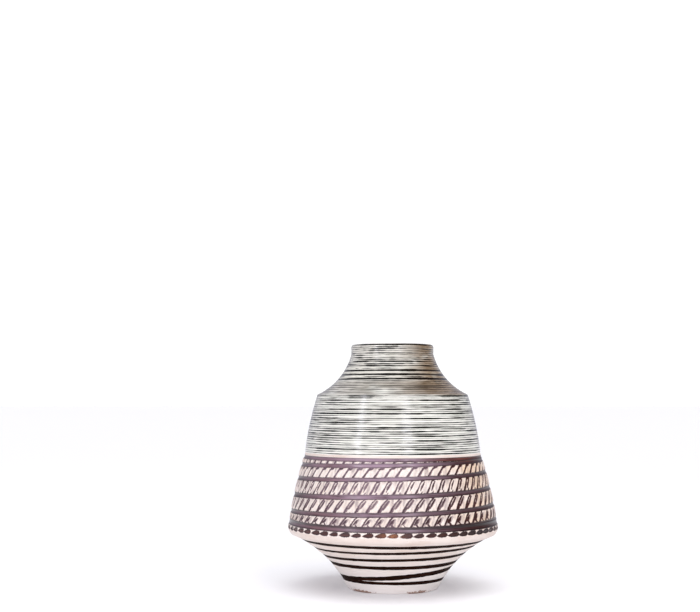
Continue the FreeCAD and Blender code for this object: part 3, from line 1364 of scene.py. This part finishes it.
@dataclass
class UpperClay:
    """The belly and shoulder sections, which show only as a plain line under the glaze."""

    bare_top: float = 140.6
    glazed_from: float = 141.2

    def build(self) -> list[Piece]:
        """Both sections, each with its outer half first and its inner half last."""
        behind_skin = SLEEVE_DEPTH + CLEARANCE
        foot, top, joint = LOWER_SEAM[1], UPPER_SEAM[0], UPPER_SEAM[1]
        band_top = COURSE.top_ring[1]
        bare = np.arange(band_top, self.bare_top, 0.45)
        wavy = OUTLINE.radius(bare) - 0.35 + 0.1 * np.sin(bare * 5.0)
        belly = [
            *OUTLINE.behind(np.linspace(foot, top, 36), behind_skin),
            *OUTLINE.behind(np.linspace(top, foot, 40), WALL - COAT),
        ]
        shoulder = [
            *OUTLINE.behind(np.linspace(joint, band_top, 5), behind_skin),
            *zip(wavy, bare),
            *OUTLINE.behind(np.linspace(self.glazed_from, COAT_END, 90), COAT + 0.45),
            *OUTLINE.behind(np.linspace(COAT_END, joint, 40), WALL - COAT),
        ]
        return [
            throw("belly_section_clay", belly, "clay", "belly_section"),
            throw("shoulder_section_clay", shoulder, "clay", "shoulder_section"),
        ]


@dataclass
class LutingSlip:
    """The thin slip that joins the thrown sections, hidden under the skins."""

    def build(self) -> list[Piece]:
        """Both rings."""
        made = []
        for node, seam in (("lower_luting_slip", LOWER_SEAM), ("upper_luting_slip", UPPER_SEAM)):
            inner, outer = (
                OUTLINE.behind(np.array(seam), depth)
                for depth in (WALL - COAT, SLEEVE_DEPTH + 2 * CLEARANCE)
            )
            made.append(throw(f"{node}_ring", [inner[0], *outer, inner[1]], "luting_slip", node))
        return made


# ---- glazes ------------------------------------------------------------------------------------
@dataclass(frozen=True)
class BrushLines:
    """Lines that a dry brush leaves on the turning vase, one above the other.

    First is the height of one line and gap the step to the next. Each is thin to thick in half its
    width and strays by unsteady.
    """

    first: float
    gap: float
    thin: float
    thick: float
    unsteady: float
    seed: int

    def lay(self, turn: Array, height: Array) -> tuple[Array, Array]:
        """Finds the nearest line.

        Args:
            turn: places round the vase.
            height: heights.

        Returns:
            Depth into the line, positive in it, and how much paint it holds there, from 0 to 1.
        """
        chance = np.random.default_rng(self.seed).uniform(-1, 1, 256)
        long, short = Unevenness(self.seed + 1, 15, 1.0), Unevenness(self.seed + 2, 60, 1.0)
        drift = Unevenness(self.seed + 3, 11, 1.0)
        nearest, paint = np.full_like(turn, -FAR_OFF), np.zeros_like(turn)
        for shift in (-1, 0, 1):
            number = np.rint((height - self.first) / self.gap) + shift
            own = chance[number.astype(int) % 256]
            load = long.at(turn, number) + 0.45 * short.at(turn, number) + 0.25 * own
            stray = self.unsteady * (drift.at(turn, number) + 0.6 * own)
            middle = self.first + number * self.gap + stray
            half = self.thin + (self.thick - self.thin) * step_between(-0.15, 0.95, load)
            reach = half - np.abs(height - middle)
            paint = np.where(reach > nearest, step_between(-0.9, -0.05, load), paint)
            nearest = np.maximum(nearest, reach)
        return nearest, paint


@dataclass
class ShoulderGlaze:
    """The glossy streaked glaze, from over the belly to the outer half of the lip."""

    start: float = 138.9
    split: float = 197.4
    columns: int = 288
    row_step: float = 0.26
    strong: BrushLines = BrushLines(144.4, 4.35, 0.46, 0.88, 0.24, seed=31)
    middling: BrushLines = BrushLines(142.2, 4.35, 0.30, 0.70, 0.26, seed=61)
    weak: BrushLines = BrushLines(143.3, 2.175, -0.02, 0.30, 0.2, seed=47)

    def relief(self, turn: Array, height: Array) -> tuple[Array, Notes]:
        """Lays the glaze and paints its lines, which crowd together where the neck begins.

        Args:
            turn: places round the vase.
            height: heights.

        Returns:
            Height of the glaze over the outline, and what its material needs to know.
        """
        dense = step_between(211.5, 213.5, height) * (1 - step_between(224.0, 226.5, height))
        stroke, paint = self.strong.lay(turn, height)
        second, lighter = self.middling.lay(turn, height)
        line, _ = self.weak.lay(turn, height)
        stroke = stroke + 0.4 * dense
        second = second - 0.3 * dense
        paint = np.where(second > stroke, lighter * 0.85, paint)
        stroke = np.maximum(stroke, second)
        high = step_between(196.6, 199.0, height)
        brown = high * (1 - step_between(210.0, 212.5, height))
        ink = np.clip(0.62 + 0.38 * paint + 0.3 * dense, 0, 1) * (1 - 0.25 * brown)
        wave = np.sin(height * 2.85 + 0.8 * HAND.at(turn, height))
        ridges = 0.05 * TURNING.at(turn, height * 0.8) + 0.05 * wave
        lift = ridges - 0.07 * step_between(-0.2, 0.3, stroke) - 0.05
        # Khaki tone with painted shadow over the flare and neck, heaviest on the right.
        khaki = high * (0.22 + 0.78 * side(turn, 0.145, 0.09)) + 0.2 * brown
        khaki = np.clip(khaki + 0.12 * PATCH.at(turn, height), 0, 1)
        return lift, {"stroke": stroke, "ink": ink, "line": line, "khaki": khaki}

    def neck(self) -> Piece:
        """Glaze of the shoulder's flare, the neck and the lip."""
        heights = np.arange(self.split, HEIGHT - LIP_RADIUS, self.row_step)
        section = [
            *zip(OUTLINE.radius(heights), heights),
            *lip(0, math.pi / 2),
            *OUTLINE.behind(np.linspace(COAT_END, self.split, 30), COAT + 0.4),
        ]
        piece = turn_on_wheel("glaze_neck", [*section, section[0]], self.columns)
        radius, turn, height = polar(piece)
        lift, notes = self.relief(turn, height)
        outside = np.abs(radius - OUTLINE.radius(height)) < ON_OUTLINE
        lift = np.where(outside, lift * (1 - step_between(244.0, 247.0, height)), 0.0)
        write_points(piece, OUTLINE.raised(radius, turn, height, lift))
        add_notes(piece, notes)
        return hand_over(piece, STREAKED, "streaked_glaze", "shoulder_glaze")

    def edges(self, turn: Array) -> tuple[Array, Array]:
        """Edges of the glaze on the wall, of which the lower one wavers where it has run."""
        run = 0.35 * HAND.at(turn, turn * 0 + 5) + 0.3 * SWELL.at(turn, turn * 0)
        return self.start + run, np.full_like(turn, self.split)

    def rounded(self, turn: Array, height: Array) -> tuple[Array, Notes]:
        """The relief, with the lower edge of the glaze rounded off."""
        lift, notes = self.relief(turn, height)
        full = step_between(0.0, 1.2, height - self.edges(turn)[0])
        return lift * full - 0.3 * (1 - full), notes

    def wall(self) -> Piece:
        """Glaze of the wall."""
        rows = round((self.split - self.start) / self.row_step)
        skin = Skin("glaze_wall", -0.5, 0.5, self.edges, self.rounded, rows, self.columns, 0.9, 24)
        return hand_over(skin.roll(), STREAKED, "streaked_glaze", "shoulder_glaze")

    def build(self) -> list[Piece]:
        """Both stretches of the glaze."""
        return [self.wall(), self.neck()]


@dataclass
class Liner:
    """The glaze inside, from the floor to the inner half of the lip, over soft throwing rings."""

    columns: int = 160
    floor_coat: float = 0.4

    def build(self) -> list[Piece]:
        """The liner."""
        heights = np.linspace(FLOOR_HEIGHT + self.floor_coat, HEIGHT - LIP_RADIUS, 150)
        rings = 0.12 * np.sin(heights * 1.3) * (1 - step_between(225, 240, heights))
        underside = FLOOR_HEIGHT - COAT + 0.02
        floor_edge = float(OUTLINE.inset(heights[:1], WALL)[0])
        section = [
            (0.0, FLOOR_HEIGHT + 0.15),
            (12.0, FLOOR_HEIGHT + 0.05),
            (floor_edge - 6.0, FLOOR_HEIGHT),
            (floor_edge - 1.0, FLOOR_HEIGHT + 0.1),
            *zip(OUTLINE.inset(heights, WALL) + rings, heights),
            *lip(math.pi, math.pi / 2)[1:],
            *OUTLINE.behind(np.linspace(COAT_END, underside, 50), WALL - COAT + 0.03),
            (0.0, underside),
        ]
        piece = turn_on_wheel("liner_glaze_inside", section, self.columns)
        return [hand_over(piece, LINER, "liner_glaze", "liner_glaze")]


# ---- studio ------------------------------------------------------------------------------------
@dataclass
class Softbox:
    """A soft rectangular light that looks at the middle of the vase.

    Around is degrees from the front towards +X, and above is degrees up. Sizes are metres and power
    is watts. A light that isn't mirrored leaves no highlight.
    """

    name: str
    around: float
    above: float
    away: float
    wide: float
    tall: float
    power: float
    colour: Colour = (0.93, 0.925, 1.0)
    mirrored: bool = True

    def hang(self) -> None:
        """Puts the light up."""
        target = Vector((0, 0, 0.13))
        angle, lift = math.radians(self.around), math.radians(self.above)
        level_part = math.cos(lift)
        back = Vector((math.sin(angle) * level_part, -math.cos(angle) * level_part, math.sin(lift)))
        bpy.ops.object.light_add(type="AREA", location=target + back * self.away)
        lamp = bpy.context.object
        lamp.name = self.name
        lamp.rotation_euler = back.to_track_quat("Z", "Y").to_euler()
        lamp.data.shape = "RECTANGLE"
        lamp.data.size, lamp.data.size_y = self.wide, self.tall
        lamp.data.energy = self.power
        lamp.data.color = self.colour
        lamp.visible_camera = False
        lamp.visible_glossy = self.mirrored


@dataclass
class Studio:
    """Pale floor, pale surroundings, soft light and the camera. Lengths here are metres."""

    distance: float = 1.2963
    camera_height: float = 0.1941
    pitch: float = 4.265
    yaw: float = 1.955
    lens: float = 63.76
    floor_size: float = 60.0
    floor_colour: Colour = (0.972, 0.972, 0.99)
    room: Colour = (0.29, 0.285, 0.32)
    rear: Colour = (1.0, 1.0, 1.04)
    left_wall: Colour = (0.28, 0.28, 0.34)
    right_wall: Colour = (0.035, 0.03, 0.035)
    far_wall: Colour = (0.45, 0.45, 0.52)
    backdrop: Colour = (1.1, 1.1, 1.1)

    def floor(self) -> None:
        """A wide plain floor."""
        set_down()
        bpy.ops.mesh.primitive_plane_add(size=self.floor_size)
        plane = bpy.context.object
        plane.name = "studio_floor"
        paint = bpy.data.materials.new("studio_floor")
        paint.use_nodes = True
        Bench(paint.node_tree).cover({"Base Color": (*self.floor_colour, 1.0), "Roughness": 0.9})
        plane.data.materials.append(paint)

    def surroundings(self) -> None:
        """A plain room with a dark screen on the right, seen as a white backdrop."""
        world = bpy.data.worlds.new("studio")
        world.use_nodes = True
        bench = Bench(world.node_tree)
        towards = bench.node("ShaderNodeTexCoord", {}, {}).outputs["Generated"]
        parts = bench.node("ShaderNodeSeparateXYZ", {}, {0: towards}).outputs
        across, depth = Signal(bench, parts["X"]), Signal(bench, parts["Y"])
        glow = bench.tint(bench.rise(depth, -0.1, 0.75), self.room, self.rear)
        walls = bench.tint(bench.rise(across, -0.5, 0.4), self.left_wall, self.right_wall)
        walls = bench.tint(bench.rise(depth, 0.35, 1.0), walls, self.far_wall)
        path = bench.node("ShaderNodeLightPath", {}, {}).outputs
        colour = bench.tint(Signal(bench, path["Is Glossy Ray"]), glow, walls)
        colour = bench.tint(Signal(bench, path["Is Camera Ray"]), colour, self.backdrop)
        light = bench.node("ShaderNodeBackground", {}, {"Color": colour})
        bench.node("ShaderNodeOutputWorld", {}, {"Surface": light.outputs[0]})
        bpy.context.scene.world = world

    def softboxes(self) -> None:
        """A soft light from above, a narrow and a wide box in front, and a low one that only fills."""
        bpy.ops.object.light_add(type="SUN", rotation=(math.radians(24), math.radians(11), 0))
        overhead = bpy.context.object
        overhead.name = "overhead_silk"
        overhead.data.angle = math.radians(70)
        overhead.data.energy = 2.0
        overhead.data.color = (1.0, 0.995, 0.98)
        overhead.visible_glossy = False
        Softbox("window_strip", around=-45, above=19, away=1.6, wide=0.17, tall=1.3, power=4.6).hang()
        Softbox("front_box", around=20, above=17, away=1.8, wide=0.36, tall=1.15, power=6.0).hang()
        Softbox("low_fill", -4, 2, 1.6, 1.2, 0.3, 3.1, (1.0, 0.98, 0.96), mirrored=False).hang()

    def camera(self) -> None:
        """The camera, a little above the foot and turned so that the vase stands right of the middle."""
        bpy.ops.object.camera_add(location=(0, -self.distance, self.camera_height))
        camera = bpy.context.object
        camera.rotation_euler = (math.radians(90 + self.pitch), 0, math.radians(self.yaw))
        camera.data.sensor_width = 36.0
        camera.data.lens = self.lens
        bpy.context.scene.camera = camera

    def build(self) -> None:
        """Sets up the studio."""
        self.floor()
        self.surroundings()
        self.softboxes()
        self.camera()
        bpy.context.scene.view_settings.view_transform = "Standard"


def main() -> None:
    """Builds the vase from the foot up, then the studio."""
    logging.basicConfig(level=logging.INFO, format="%(name)s: %(message)s")
    sub_assemblies = [
        BaseSection(),
        KeelNotches(),
        LutingSlip(),
        UpperClay(),
        DarkBand(),
        CarvedRows(),
        ShoulderGlaze(),
        Liner(),
    ]
    for sub_assembly in sub_assemblies:
        made = sub_assembly.build()
        log.info("%s: %d pieces", type(sub_assembly).__name__, len(made))
    Studio().build()


if __name__ == "__main__":
    main()
